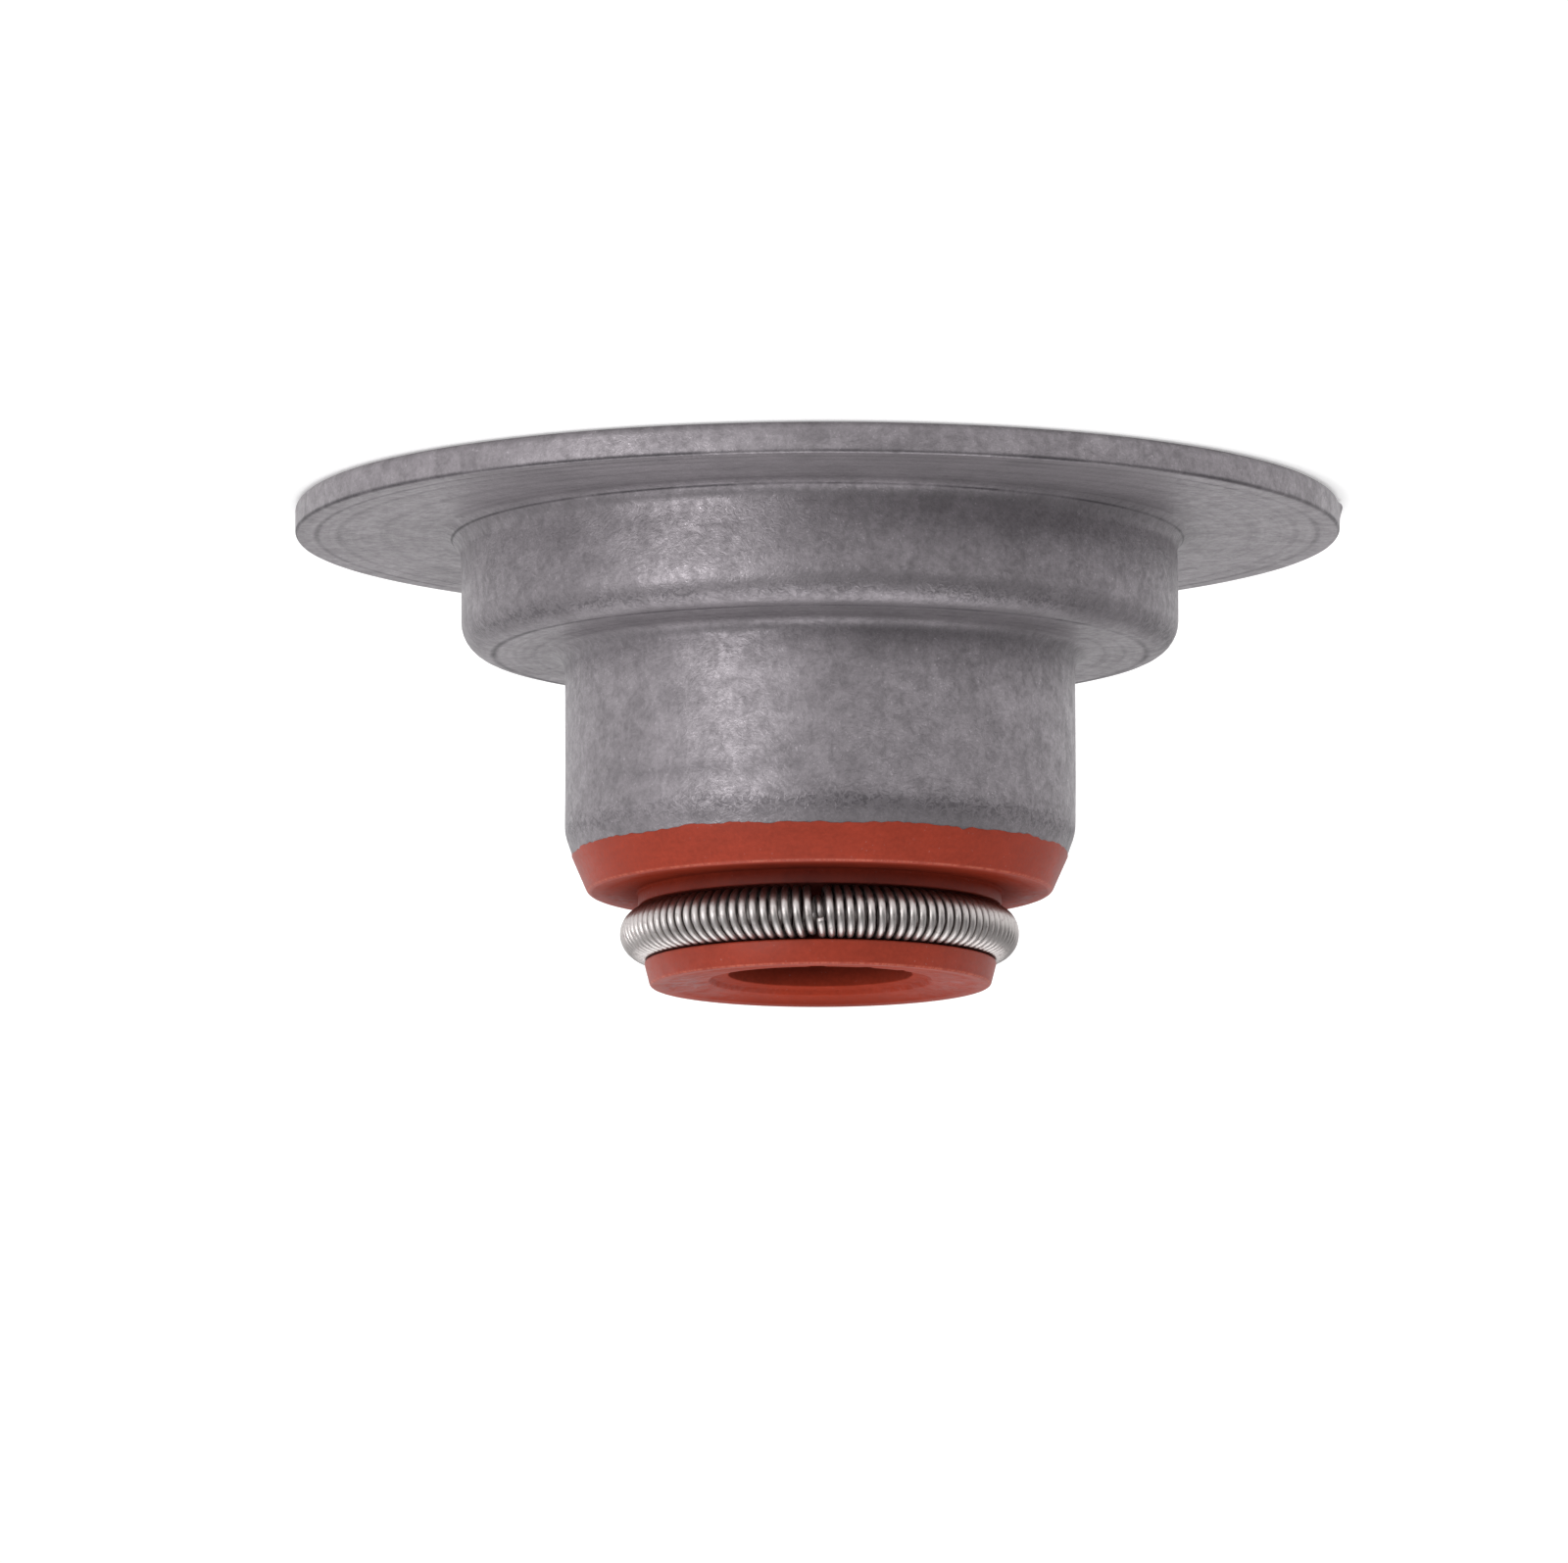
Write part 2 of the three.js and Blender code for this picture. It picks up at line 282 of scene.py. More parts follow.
@dataclass
class TurnedSurface:
    """A closed outline turned about Z, whose points may each move off the round.

    Attributes:
        outline: Points of the outline, one (radius, height) per row, in mm.
        radius: Distance from the axis, by outline point and place round the axis.
        height: Height, by outline point and place round the axis.
    """

    outline: np.ndarray
    radius: np.ndarray = field(init=False)
    height: np.ndarray = field(init=False)

    def __post_init__(self) -> None:
        """Start with the plain round surface."""
        self.radius = np.repeat(self.outline[:, :1], ROUND_STEPS, axis=1)
        self.height = np.repeat(self.outline[:, 1:], ROUND_STEPS, axis=1)

    @property
    def angle(self) -> np.ndarray:
        """Angle round +Z from +X of each place round the axis."""
        return np.linspace(0, 2 * pi, ROUND_STEPS, endpoint=False)

    @property
    def run(self) -> np.ndarray:
        """Distance along the outline of each of its points, in mm."""
        return run_along(self.outline)

    def at(self, radius: float, height: float) -> float:
        """Return the distance along the outline of the point nearest to a place."""
        return float(self.run[nearest(self.outline, radius, height)])

    def band(self, run: float, width: float) -> np.ndarray:
        """Weigh each outline point by how near it is to a ring, as the bell exp(-(s/width)^2)."""
        return np.exp(-(((self.run[:, None] - run) / width) ** 2))

    def patch(self, facing: float, run: float, width: float, length: float) -> np.ndarray:
        """Weigh each point by how near it is to a spot, as a bell with a flat width and length.

        The weight is exp(-(a/width)^2 - (s/length)^2) for a point that lies the arc a round the axis
        and the distance s along the outline away from the spot.

        Args:
            facing: Where the spot faces, in degrees from the front towards +X.
            run: The spot's distance along the outline, in mm.
            width: Half width round the axis, in mm.
            length: Half length along the outline, in mm.

        Returns:
            Weights from 0 to 1, by outline point and place round the axis.
        """
        centre = radians(facing) - pi / 2
        turn = (self.angle - centre + pi) % (2 * pi) - pi
        across = turn[None, :] * self.outline[:, :1] / width
        along = (self.run[:, None] - run) / length
        return np.exp(-(across**2) - along**2)

    def build(self, name: str) -> bpy.types.Object:
        """Make the piece, with the attribute turned that its patterns follow.

        The points are (radius cos a, radius sin a, height) for each place a round the axis. The
        attribute is (8 cos a, 8 sin a, run), in mm, where run is the distance along the outline.

        Args:
            name: Name of the piece.

        Returns:
            The finished object.
        """
        angle = self.angle[None, :]
        points = np.stack([self.radius * np.cos(angle), self.radius * np.sin(angle), self.height], axis=-1)
        rows, columns = self.radius.shape
        piece = mesh_piece(name, points.reshape(-1, 3), grid_faces(rows, columns))
        follow = np.broadcast_arrays(8 * np.cos(angle), 8 * np.sin(angle), self.run[:, None])
        set_attribute(piece, "turned", np.stack(follow, axis=-1).reshape(-1, 3))
        return piece


# Finishes


class Graph:
    """The nodes of a finish or of the room, with short ways to add the usual ones."""

    def __init__(self, tree: bpy.types.NodeTree) -> None:
        """Start with the tree as it is.

        Args:
            tree: Node tree to add to.
        """
        self.tree = tree

    def node(self, kind: str, inputs: Mapping[int | str, object], **settings: object) -> bpy.types.Node:
        """Add a node.

        Args:
            kind: Blender's name of the node's type.
            inputs: What goes into each input, a value or another node's output.
            settings: The node's own settings.

        Returns:
            The node.
        """
        made = self.tree.nodes.new(kind)
        for key, value in settings.items():
            setattr(made, key, value)
        for key, value in inputs.items():
            self.plug(made.inputs[key], value)
        return made

    def plug(self, socket: Socket, value: object) -> None:
        """Link an output to an input, or set the input's value.

        Args:
            socket: The input.
            value: A value, or another node's output.
        """
        if isinstance(value, Socket):
            self.tree.links.new(value, socket)
        else:
            socket.default_value = value

    def millimetres(self) -> Socket:
        """Return the place on the piece, in mm."""
        place = self.node("ShaderNodeTexCoord", {}).outputs["Object"]
        return self.node("ShaderNodeVectorMath", {0: place, "Scale": 1 / MM}, operation="SCALE").outputs[0]

    def follow(self, name: str = "turned") -> Socket:
        """Return a vector attribute of the piece."""
        return self.node("ShaderNodeAttribute", {}, attribute_name=name).outputs["Vector"]

    def amount(self, name: str) -> Socket:
        """Return a number attribute of the piece."""
        return self.node("ShaderNodeAttribute", {}, attribute_name=name).outputs["Fac"]

    def stretched(self, vector: Socket, by: Colour) -> Socket:
        """Return a vector with each part multiplied."""
        return self.node("ShaderNodeVectorMath", {0: vector, 1: by}, operation="MULTIPLY").outputs[0]

    def part(self, vector: Socket, axis: int) -> Socket:
        """Return one part of a vector."""
        return self.node("ShaderNodeSeparateXYZ", {0: vector}).outputs[axis]

    def noise(
        self, vector: Socket, scale: float, detail: float = 2, rough: float = 0.5, bend: float = 0
    ) -> Socket:
        """Return a noise from 0 to 1.

        Args:
            vector: Where to read it, in mm.
            scale: Waves per mm.
            detail: Finer layers on top of the first.
            rough: Size of each finer layer against the one before.
            bend: How far the pattern is bent on itself.

        Returns:
            The noise's output.
        """
        inputs = {"Vector": vector, "Scale": scale, "Detail": detail, "Roughness": rough, "Distortion": bend}
        return self.node("ShaderNodeTexNoise", inputs).outputs["Fac"]

    def span(self, value: Socket, low: float, high: float, start: float = 0, end: float = 1) -> Socket:
        """Carry the range from low to high smoothly to the range from start to end, and hold it beyond."""
        inputs = {"Value": value, "From Min": low, "From Max": high, "To Min": start, "To Max": end}
        return self.node("ShaderNodeMapRange", inputs, interpolation_type="SMOOTHSTEP").outputs[0]

    def maths(self, operation: str, *values: Socket | float) -> Socket:
        """Return the result of one sum on one to three values."""
        return self.node("ShaderNodeMath", dict(enumerate(values)), operation=operation).outputs[0]

    def times(self, *values: Socket | float) -> Socket:
        """Return the product of two or more values."""
        return reduce(partial(self.maths, "MULTIPLY"), values)

    def plus(self, *values: Socket | float) -> Socket:
        """Return the sum of two or more values."""
        return reduce(partial(self.maths, "ADD"), values)

    def line(self, value: Socket, place: float, width: float) -> Socket:
        """Return 1 where a value is at a place, falling smoothly to 0 at the width to either side."""
        return self.span(self.maths("ABSOLUTE", self.maths("SUBTRACT", value, place)), 0, width, 1, 0)

    def blend(self, share: Socket | float, first: Socket | Colour, second: Socket | Colour) -> Socket:
        """Mix two colours, where a share of 0 is the first one."""
        first, second = (c if isinstance(c, Socket) else (*c, 1) for c in (first, second))
        return self.node("ShaderNodeMix", {0: share, 6: first, 7: second}, data_type="RGBA").outputs[2]

    def shaded(self, colour: Socket | Colour, by: Socket) -> Socket:
        """Return a colour made brighter or darker by a factor."""
        return self.node("ShaderNodeVectorMath", {0: colour, "Scale": by}, operation="SCALE").outputs[0]

    def bump(self, height: Socket, depth: float, below: Socket | None = None) -> Socket:
        """Turn a height into a normal.

        Args:
            height: The height, from 0 to 1.
            depth: What the whole of it stands for, in mm.
            below: The normal that it lies on, or None for the mesh's own.

        Returns:
            The normal.
        """
        inputs = {"Height": height, "Distance": depth * MM, "Strength": 1.0}
        if below is not None:
            inputs["Normal"] = below
        return self.node("ShaderNodeBump", inputs).outputs[0]

    def seen(self) -> Socket:
        """Tell the rays that see something from those that only light it.

        Returns:
            1 for the camera's rays and for those off gloss or through glass, and 0 for others.
        """
        path = self.node("ShaderNodeLightPath", {}).outputs
        gloss_or_glass = self.maths("MAXIMUM", path["Is Glossy Ray"], path["Is Transmission Ray"])
        return self.maths("MAXIMUM", path["Is Camera Ray"], gloss_or_glass)


class FinishGraph(Graph):
    """The nodes of one finish round its principled shader."""

    def __init__(self, name: str) -> None:
        """Start a material with the shader alone.

        Args:
            name: Name of the material.
        """
        self.material = bpy.data.materials.new(name)
        self.material.use_nodes = True
        super().__init__(self.material.node_tree)

    def finish(self, **values: object) -> bpy.types.Material:
        """Set the shader's inputs, with spaces in their names written as underscores.

        Args:
            values: A value or another node's output for each input.

        Returns:
            The material.
        """
        shader = self.tree.nodes["Principled BSDF"]
        for key, value in values.items():
            colour = key == "Base_Color" and not isinstance(value, Socket)
            self.plug(shader.inputs[key.replace("_", " ")], (*value, 1) if colour else value)
        return self.material


@dataclass(frozen=True)
class Crease:
    """A fine dark line round the shell, by its distance along the outline."""

    run: float
    width: float
    strength: float


@dataclass(frozen=True)
class PressedSteel:
    """Matt steel from a tumbling barrel, with lines left by the drawing tools.

    Attributes:
        clean: Colour of the bare steel.
        dark: Colour where stains, crinkles, fine lines and painted shade make it darker.
        roughness: Roughness of the matt surface.
        creases: Fine dark lines round the shell.
    """

    clean: Colour = (0.262, 0.241, 0.258)
    dark: Colour = (0.060, 0.054, 0.062)
    roughness: float = 0.46
    creases: tuple[Crease, ...] = ()

    def material(self) -> bpy.types.Material:
        """Build the finish.

        Colour and roughness share three patterns: soft clouds, a grain, and lines that run along the
        draw direction on the walls and round the axis on the flange. Attributes of the piece say how
        strong the crinkled bands (crinkle), the stains and painted shade (soot_and_shade) and the draw
        lines (drawn) are.

        Returns:
            The material.
        """
        g = FinishGraph("pressed_steel_matt")
        place, turned = g.millimetres(), g.follow()
        clouds = g.noise(place, 0.5, 3, 0.55, 0.6)
        blotch = g.noise(place, 1.9, 4, 0.62, 0.8)
        grain = g.noise(place, 6.5, 3, 0.7)
        speck = g.noise(place, 15.0, 2, 0.6)
        drawn = g.noise(g.stretched(turned, (4.0, 4.0, 0.25)), 1.0, 3, 0.6)
        rings = g.noise(g.stretched(turned, (0.05, 0.05, 6.0)), 1.0, 3, 0.7, 0.2)
        worm = g.noise(g.stretched(place, (1, 1, 1.3)), 5.5, 2, 0.6, 1.2)

        along = g.times(g.amount("drawn"), g.span(clouds, 0.42, 0.62, 0.25, 1.0))
        level = g.maths("SUBTRACT", 1.0, g.amount("drawn"))
        tone = g.plus(
            1.0,
            g.times(level, 0.12),
            g.span(clouds, 0.3, 0.7, -0.09, 0.09),
            g.span(blotch, 0.3, 0.7, -0.11, 0.11),
            g.span(grain, 0.28, 0.72, -0.08, 0.08),
            g.times(along, g.span(drawn, 0.3, 0.7, -0.04, 0.04)),
            g.times(level, g.span(rings, 0.3, 0.7, -0.10, 0.10)),
        )
        crinkle = g.times(g.span(worm, 0.44, 0.62), g.amount("crinkle"))
        # Painted shade from the patches, with one stain, mottled by the blotches.
        soot_and_shade = g.times(g.amount("soot_and_shade"), g.span(blotch, 0.25, 0.75, 0.6, 1.0))
        broken = g.span(g.noise(g.stretched(turned, (0.35, 0.35, 0.0)), 1.0, 3, 0.6), 0.42, 0.58, 0.45, 1.0)
        run = g.part(turned, 2)
        lines: Socket | float = 0.0
        for crease in self.creases:
            mark = g.times(g.line(run, crease.run, crease.width), crease.strength, broken)
            lines = g.maths("MAXIMUM", lines, mark)
        # Crinkles, fine lines, stains and painted shade together darken the steel.
        darkening = g.plus(g.times(crinkle, 0.4), g.times(soot_and_shade, 0.8), g.times(lines, 0.8))
        shade = g.maths("MINIMUM", darkening, 1.0)
        glint = g.times(g.span(speck, 0.62, 0.72), g.span(blotch, 0.42, 0.6))
        colour = g.shaded(g.blend(shade, self.clean, self.dark), g.plus(tone, g.times(glint, 0.5)))

        rough = g.plus(
            self.roughness,
            g.span(blotch, 0.3, 0.7, 0.05, -0.05),
            g.span(grain, 0.3, 0.7, 0.03, -0.03),
            g.times(shade, 0.08),
            g.times(glint, -0.12),
        )
        relief = g.plus(
            g.times(grain, 0.3),
            g.times(worm, g.plus(0.7, g.times(g.amount("crinkle"), 1.2))),
            g.times(drawn, along, 0.10),
            g.times(lines, -0.25),
        )
        return g.finish(
            Base_Color=colour, Metallic=0.72, Roughness=rough, Normal=g.bump(relief, 0.012), IOR=1.5
        )


@dataclass(frozen=True)
class MouldedRubber:
    """Satin red-brown rubber, with worn edges, a painted grey sheen, painted shade and a few pale specks.

    Attributes:
        body: Colour of the rubber.
        painted_sheen: Colour of the painted sheen, a grey reflection on the sides.
        painted_shade: Colour of the painted shade round the neck, in the bore and on the lip's far side.
        edge: Colour of worn edges.
        roughness: Roughness of the moulded skin.
        gloss: Strength of its reflections, where 0.5 is that of its refractive index alone.
        edges: Where the worn edges lie, as distances along the outline.
    """

    body: Colour = (0.312, 0.036, 0.016)
    painted_sheen: Colour = (0.30, 0.19, 0.19)
    painted_shade: Colour = (0.055, 0.008, 0.006)
    edge: Colour = (0.56, 0.15, 0.09)
    roughness: float = 0.46
    gloss: float = 0.24
    edges: tuple[float, ...] = ()

    def material(self) -> bpy.types.Material:
        """Build the finish. The attributes of the painted sheen, the painted shade and matt say how much of
        each a point has.

        Returns:
            The material.
        """
        g = FinishGraph("seal_rubber_moulded")
        place, turned = g.millimetres(), g.follow()
        clouds = g.noise(place, 0.7, 3, 0.55, 0.5)
        grain = g.noise(place, 9.0, 3, 0.6)
        flow = g.noise(g.stretched(turned, (1.2, 1.2, 5.0)), 1.0, 3, 0.6, 0.4)
        dust = g.noise(place, 11.0, 1, 0.5)
        specks = g.times(g.span(dust, 0.70, 0.76), g.span(clouds, 0.42, 0.6))
        # Painted shade in the hollows, mottled.
        painted_shade = g.times(g.amount("painted_shade"), g.span(clouds, 0.2, 0.8, 0.7, 1.0))
        # Painted sheen, a grey reflection at the sides, mottled.
        film = g.times(g.amount("painted_sheen"), g.span(g.noise(place, 3.2, 4, 0.65, 0.7), 0.32, 0.66, 0.35, 1.0))
        tone = g.plus(
            1.0,
            g.span(clouds, 0.3, 0.7, -0.06, 0.06),
            g.span(grain, 0.3, 0.7, -0.07, 0.07),
            g.span(flow, 0.3, 0.7, -0.05, 0.05),
        )
        sheen_and_specks = g.maths("MINIMUM", g.plus(film, g.times(specks, 0.35)), 1.0)
        clean = g.blend(sheen_and_specks, self.body, self.painted_sheen)
        run, ragged = g.part(turned, 2), g.noise(g.stretched(turned, (1, 1, 0.2)), 5.0, 3, 0.7)
        worn: Socket | float = 0.0
        for edge in self.edges:
            here = g.plus(edge - 0.04, g.times(ragged, 0.08))
            worn = g.maths("MAXIMUM", worn, g.line(g.maths("SUBTRACT", run, here), 0.0, 0.06))
        worn = g.times(worn, g.span(ragged, 0.42, 0.60, 0.05, 0.5))
        colour = g.shaded(g.blend(worn, g.blend(painted_shade, clean, self.painted_shade), self.edge), tone)
        rough = g.plus(
            self.roughness, g.span(grain, 0.3, 0.7, -0.05, 0.05), g.times(film, 0.2), g.times(painted_shade, 0.3)
        )
        relief = g.plus(g.times(grain, 0.5), g.times(flow, 0.4))
        gloss = g.span(g.amount("matt"), 0.0, 1.0, self.gloss, 0.0)
        normal = g.bump(relief, 0.008)
        return g.finish(Base_Color=colour, Roughness=rough, Normal=normal, IOR=1.5, Specular_IOR_Level=gloss)


@dataclass(frozen=True)
class DrawnWire:
    """Bright drawn spring wire, with faint streaks along it.

    Attributes:
        bright: Colour of the wire.
        stained: Colour where it is a little tarnished.
        roughness: Roughness of the drawn surface.
        painted_shade_height: Height up to which the winding is painted darker, as painted shade next to the
            collar.
    """

    bright: Colour = (0.53, 0.495, 0.485)
    stained: Colour = (0.30, 0.26, 0.255)
    roughness: float = 0.34
    painted_shade_height: float = 11.72

    def material(self) -> bpy.types.Material:
        """Build the finish. The attribute wound is a place round the wire and the length along it.

        Returns:
            The material.
        """
        g = FinishGraph("spring_wire_drawn")
        wound = g.follow("wound")
        streaks = g.noise(g.stretched(wound, (22.0, 22.0, 1.4)), 1.0, 3, 0.65)
        spots = g.noise(g.millimetres(), 5.5, 3, 0.6, 0.5)
        stain = g.span(spots, 0.52, 0.72, 0, 0.6)
        colour = g.shaded(
            g.blend(stain, self.bright, self.stained), g.plus(1.0, g.span(streaks, 0.3, 0.7, -0.12, 0.12))
        )
        # Painted shade: the winding is darker up to a height, next to the collar.
        colour = g.shaded(colour, g.span(g.part(g.millimetres(), 2), self.painted_shade_height, self.painted_shade_height + 0.5, 0.25, 1.0))
        rough = g.plus(self.roughness, g.span(streaks, 0.3, 0.7, -0.05, 0.08), g.times(stain, 0.12))
        normal = g.bump(streaks, 0.003)
        return g.finish(Base_Color=colour, Metallic=1.0, Roughness=rough, Normal=normal, IOR=1.5)


# The seal's pieces


@dataclass(frozen=True)
class FoldedSheet:
    """The line that the shell's sheet follows, from the flange's rim to the tube's turned-in end.

    Attributes:
        sheet: Thickness of the steel.
        flange_radius: Rim of the flange.
        step_radius: Outside of the step that centres the valve spring.
        step_height: Seat plane to the step's face.
        tube_radius: Outside of the tube.
        lean_height: Seat plane to the corner where the tube starts to lean in.
        lean: How far the tube's end leans in.
        lean_straight: Straight run between the last two bends.
        turned_in: How far the turned-in end reaches in from the tube's outside.
        bends: Inside radius of each bend, from the rim to the tube's end.
        outer_step: Outside radius of the bend between the step and its face.
    """

    sheet: float = 0.9
    flange_radius: float = 15.0
    step_radius: float = 10.3
    step_height: float = 4.35
    tube_radius: float = 7.325
    lean_height: float = 9.73
    lean: float = radians(19)
    lean_straight: float = 0.03
    turned_in: float = 1.875
    bends: tuple[float, ...] = (0.6, 0.02, 0.5, 1.83, 0.1)

    def line(self) -> np.ndarray:
        """Lay out the sheet's lip side, from the rim to the turned-in end.

        Returns:
            Its corners before any is rounded, one (radius, height) per row.
        """
        length = (
            (self.bends[3] + self.sheet) * tan(self.lean / 2)
            + self.lean_straight
            + (self.bends[4] + self.sheet) * tan((pi / 2 - self.lean) / 2)
        )
        end = (self.tube_radius - length * sin(self.lean), self.lean_height + length * cos(self.lean))
        return np.array(
            [
                (self.flange_radius, self.sheet),
                (self.step_radius, self.sheet),
                (self.step_radius, self.step_height),
                (self.tube_radius, self.step_height),
                (self.tube_radius, self.lean_height),
                end,
                (self.tube_radius - self.turned_in, end[1]),
            ]
        )

    def face(self, depth: float) -> list[Corner]:
        """Lay out the sheet's surface at a depth below its lip side.

        A bend is rounded by its inside radius, and more by its distance through the sheet from there.
        The second, fourth and fifth bends turn the sheet in over its underside.

        Args:
            depth: How far below the lip side, in mm.

        Returns:
            Its rounded corners, from the rim to the turned-in end.
        """
        line = moved_left(self.line(), depth)
        roundings = [
            bend + (self.sheet - depth if inwards else depth)
            for bend, inwards in zip(self.bends, (False, True, False, True, True))
        ]
        return [Corner(*line[0]), *(Corner(*p, r) for p, r in zip(line[1:-1], roundings)), Corner(*line[-1])]

    def rubber_start(self) -> np.ndarray:
        """Return the place on the lip side, past the lean's bend, where the rubber starts."""
        reach = (self.bends[3] + self.sheet) * tan(self.lean / 2)
        return self.line()[4] + reach * np.array([-sin(self.lean), cos(self.lean)])


@dataclass
class SpringSeatShell:
    """The pressed steel shell: flange, step and tube in one sheet.

    Attributes:
        fold: The line that its sheet follows.
        seat_edge: Rounding of the rim on the seat side, which the blanking punch drew in.
        lip_edge: Rounding of the rim on the lip side.
        cut_edge: Rounding of the hidden edges of the turned-in end.
    """

    fold: FoldedSheet = field(default_factory=FoldedSheet)
    seat_edge: float = 0.24
    lip_edge: float = 0.10
    cut_edge: float = 0.08

    def corners(self) -> list[Corner]:
        """Lay out the shell's section.

        Returns:
            The closed outline's corners, up the rim, along the lip side and back underneath.
        """
        lip_side, under_side = self.fold.face(0.0), self.fold.face(self.fold.sheet)
        rim = [
            Corner(lip_side[0].radius, 0.0, self.seat_edge),
            Corner(lip_side[0].radius, lip_side[0].height, self.lip_edge),
        ]
        end = [Corner(c.radius, c.height, self.cut_edge) for c in (lip_side[-1], under_side[-1])]
        return [*rim, *lip_side[1:-1], *end, *under_side[-2:0:-1]]

    def build(self) -> bpy.types.Object:
        """Make the piece with its finish, its worn patches, its patches of painted shade and its dents.

        Returns:
            The finished object.
        """
        surface = TurnedSurface(rounded_outline(self.corners(), 0.36, 9))
        self.wear_rim(surface)
        piece = surface.build("pressed_shell")
        fold = self.fold
        step_bend = surface.at(fold.step_radius - 0.15, fold.step_height - 0.35)
        step_top = surface.at(fold.step_radius - 0.92, fold.step_height)
        tube_foot = surface.at(fold.tube_radius + 0.9, fold.step_height)
        flange_foot = surface.at(fold.step_radius + 0.23, fold.sheet + 0.12)
        lip_rim = surface.at(fold.flange_radius, fold.sheet - 0.04)
        creases = (
            Crease(flange_foot, 0.07, 0.9),
            Crease(step_top, 0.16, 0.9),
            Crease(tube_foot, 0.20, 0.28),
            Crease(tube_foot - 0.55, 0.14, 0.18),
            Crease(lip_rim, 0.10, 1.0),
            Crease(lip_rim + 0.62, 0.14, 0.6),
            Crease(lip_rim + 1.25, 0.16, 0.35),
            Crease(lip_rim + 2.5, 0.30, 0.25),
        )
        for name, values in self.patches(surface, step_bend).items():
            set_attribute(piece, name, np.clip(values, 0, 1).ravel())
        piece.data.materials.append(PressedSteel(creases=creases).material())
        return piece

    def wear_rim(self, surface: TurnedSurface) -> None:
        """Let the rim wander by a few hundredths, with one small burr on it, and dent the tube once.

        The rim moves out by 0.012 mm times a slow wave that fades away over 0.5 mm from the rim. The
        burr adds 0.1 mm on a bell 0.28 mm wide, and the dent takes 0.05 mm off one of 0.22 mm.

        Args:
            surface: The shell's surface, which is changed.
        """
        rim = np.exp(-(((self.fold.flange_radius - surface.outline[:, :1]) / 0.5) ** 2))
        surface.radius += 0.012 * rim * round_noise(11, 2, 30, 1.0)
        burr_run = surface.at(self.fold.flange_radius, 0.15)
        surface.radius += 0.10 * surface.patch(-88.0, burr_run, 0.28, 0.25)
        pit_run = surface.at(self.fold.tube_radius, 8.35)
        surface.radius -= 0.05 * surface.patch(28.5, pit_run, 0.22, 0.25)

    def patches(self, surface: TurnedSurface, step_bend: float) -> dict[str, np.ndarray]:
        """Work out where the steel is drawn, crinkled, stained and painted with shade.

        Each is a bell across its band, times a slow wave round the axis where it comes and goes.

        Args:
            surface: The shell's surface.
            step_bend: Distance along the outline of the bend above the step's wall.

        Returns:
            Weights from 0 to 1 by attribute name.
        """
        fold = self.fold
        across = np.gradient(surface.outline[:, 0])
        upward = np.gradient(surface.outline[:, 1])
        drawn = (np.abs(upward) / np.hypot(across, upward))[:, None] + 0 * surface.radius
        comes = np.clip(0.65 + 0.35 * round_noise(21, 3, 24, 0.8), 0, 1)
        tube_end = surface.at(fold.tube_radius - 0.02, 9.62)
        streak = surface.at(fold.tube_radius, 8.62)
        fillet = surface.at(fold.step_radius + 0.15, fold.sheet + 0.25)
        wall = surface.at(fold.step_radius, 2.2)
        shoulder = surface.at(fold.step_radius, 1.7)
        tube_top = surface.at(fold.tube_radius, 5.3)
        outer_bend = surface.at(fold.step_radius - 0.35, fold.step_height - 0.15)
        tube_fillet = surface.at(fold.tube_radius + 0.12, fold.step_height + 0.35)
        end_comes = np.clip(0.8 + 0.3 * round_noise(22, 3, 20, 0.8), 0, 1)
        crinkle = 0.28 + 0.95 * surface.band(step_bend, 0.24) * comes
        crinkle = crinkle + 0.9 * surface.band(tube_end, 0.30) * end_comes
        # Strength of each darker band, then its place and width along the outline. Those in the two
        # fillets and on the step's outer bend are painted shade; the others darken the step's bend and the
        # tube's end.
        bands = (
            (0.22, fillet, 0.34),
            (0.10, step_bend, 0.5),
            (0.20, outer_bend, 0.34),
            (0.36, tube_fillet, 0.3),
            (0.12, tube_end, 0.32),
        )
        # Strength of each darker spot, then where it faces, its place, and its half width and length. The
        # streak on the tube is a stain; the other spots are painted shade under the fillet, on the step's
        # wall and at the top and end of the tube.
        spots = (
            (0.46, -32.0, shoulder, 4.4, 0.55),
            (0.22, -52.0, wall, 5.0, 1.6),
            (0.20, 42.0, wall, 2.2, 0.9),
            (0.22, -30.0, tube_top, 4.0, 0.7),
            (0.34, 34.0, streak, 3.4, 0.20),
            (0.28, -12.0, tube_end, 2.6, 0.34),
        )
        # The bands and spots together: mostly painted shade, with one stain.
        soot_and_shade = sum(strength * surface.band(*place) for strength, *place in bands)
        soot_and_shade = soot_and_shade + sum(strength * surface.patch(*place) for strength, *place in spots)
        return {"drawn": drawn, "crinkle": crinkle, "soot_and_shade": soot_and_shade}


